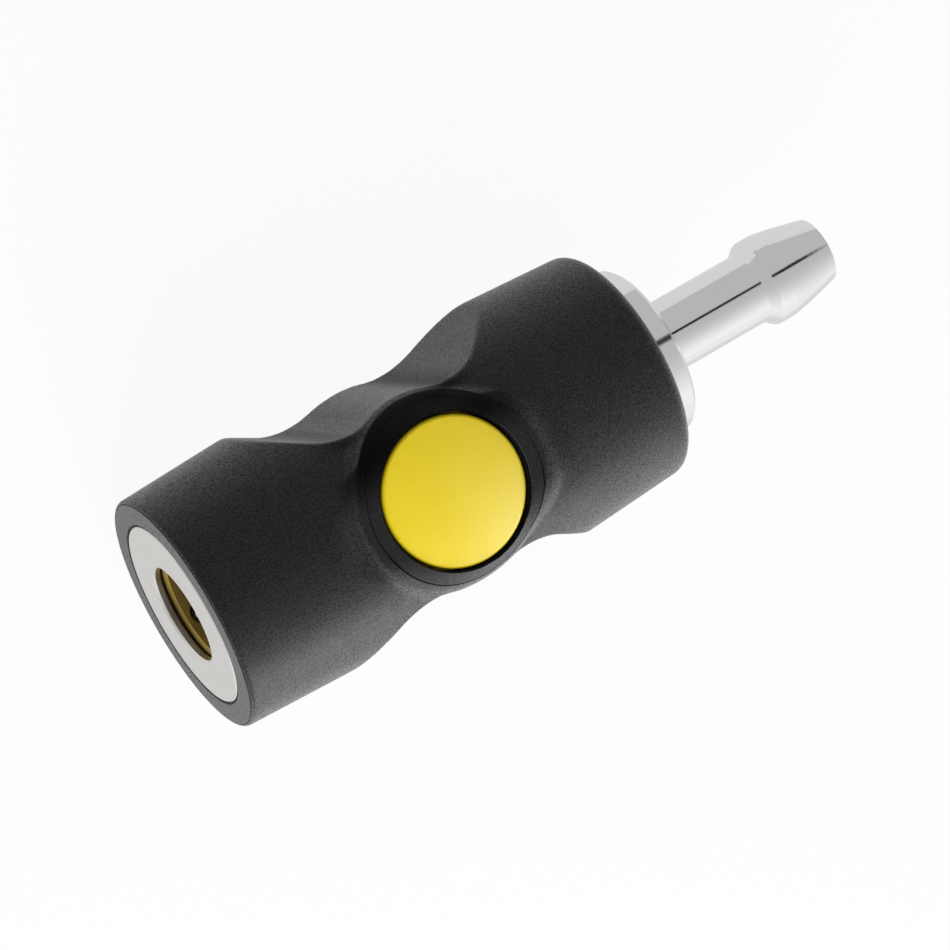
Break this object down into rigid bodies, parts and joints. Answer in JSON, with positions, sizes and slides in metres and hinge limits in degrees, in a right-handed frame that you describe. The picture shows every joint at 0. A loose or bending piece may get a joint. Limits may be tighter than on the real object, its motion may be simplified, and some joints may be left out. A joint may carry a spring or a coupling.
{
  "type": "air safety coupling",
  "caption": "Push-button air line coupling: moulded waisted body, steel-faced socket with valve, and a barbed hose tail.",
  "frame": {"origin": "centre of the socket mouth, on the bore's axis at the front face of the steel ring", "axes": "+X along the bore from the mouth to the hose tail's end, +Z out of the push button, +Y across the waist"},
  "size_m": [0.0922, 0.0312, 0.0318],
  "materials": {
    "shell_plastic": "fine grained matte black",
    "ring_steel": "satin",
    "sleeve_brass": "turned",
    "ball_steel": "polished",
    "spring_steel": "drawn wire and strip",
    "core_metal": "turned",
    "plate_steel": "stamped",
    "button_plastic": "satin yellow",
    "seal_rubber": "black",
    "valve_brass": "turned",
    "tail_nickel": "bright nickel plate"
  },
  "bodies": {
    "housing": {"body_shell": "shell_plastic", "front_ring": "ring_steel", "guide_sleeve": "sleeve_brass", "catch_balls": "ball_steel", "catch_spring": "spring_steel", "metal_core": "core_metal", "plug_seal": "seal_rubber", "seal_spacer": "valve_brass", "valve_seat": "valve_brass", "seat_seal": "seal_rubber", "valve_cage": "valve_brass", "hose_adapter": "tail_nickel", "adapter_seal": "seal_rubber", "button_spring": "spring_steel", "valve_spring": "spring_steel"},
    "button": {"push_button": "button_plastic", "lock_plate": "plate_steel", "button_pin": "ball_steel"},
    "valve": {"valve_poppet": "valve_brass", "poppet_seal": "seal_rubber"}
  },
  "joints": [
    {"name": "button_press", "type": "slide", "parent": "housing", "child": "button", "axis": [0, 0, -1], "range_m": [0, 0.002], "stiffness_N_per_m": 800, "springref_m": -0.008, "deforming": ["button_spring"]},
    {"name": "valve_slide", "type": "slide", "parent": "housing", "child": "valve", "axis": [1, 0, 0], "range_m": [0, 0.004], "stiffness_N_per_m": 2700, "springref_m": -0.002, "deforming": ["valve_spring"]}
  ]
}
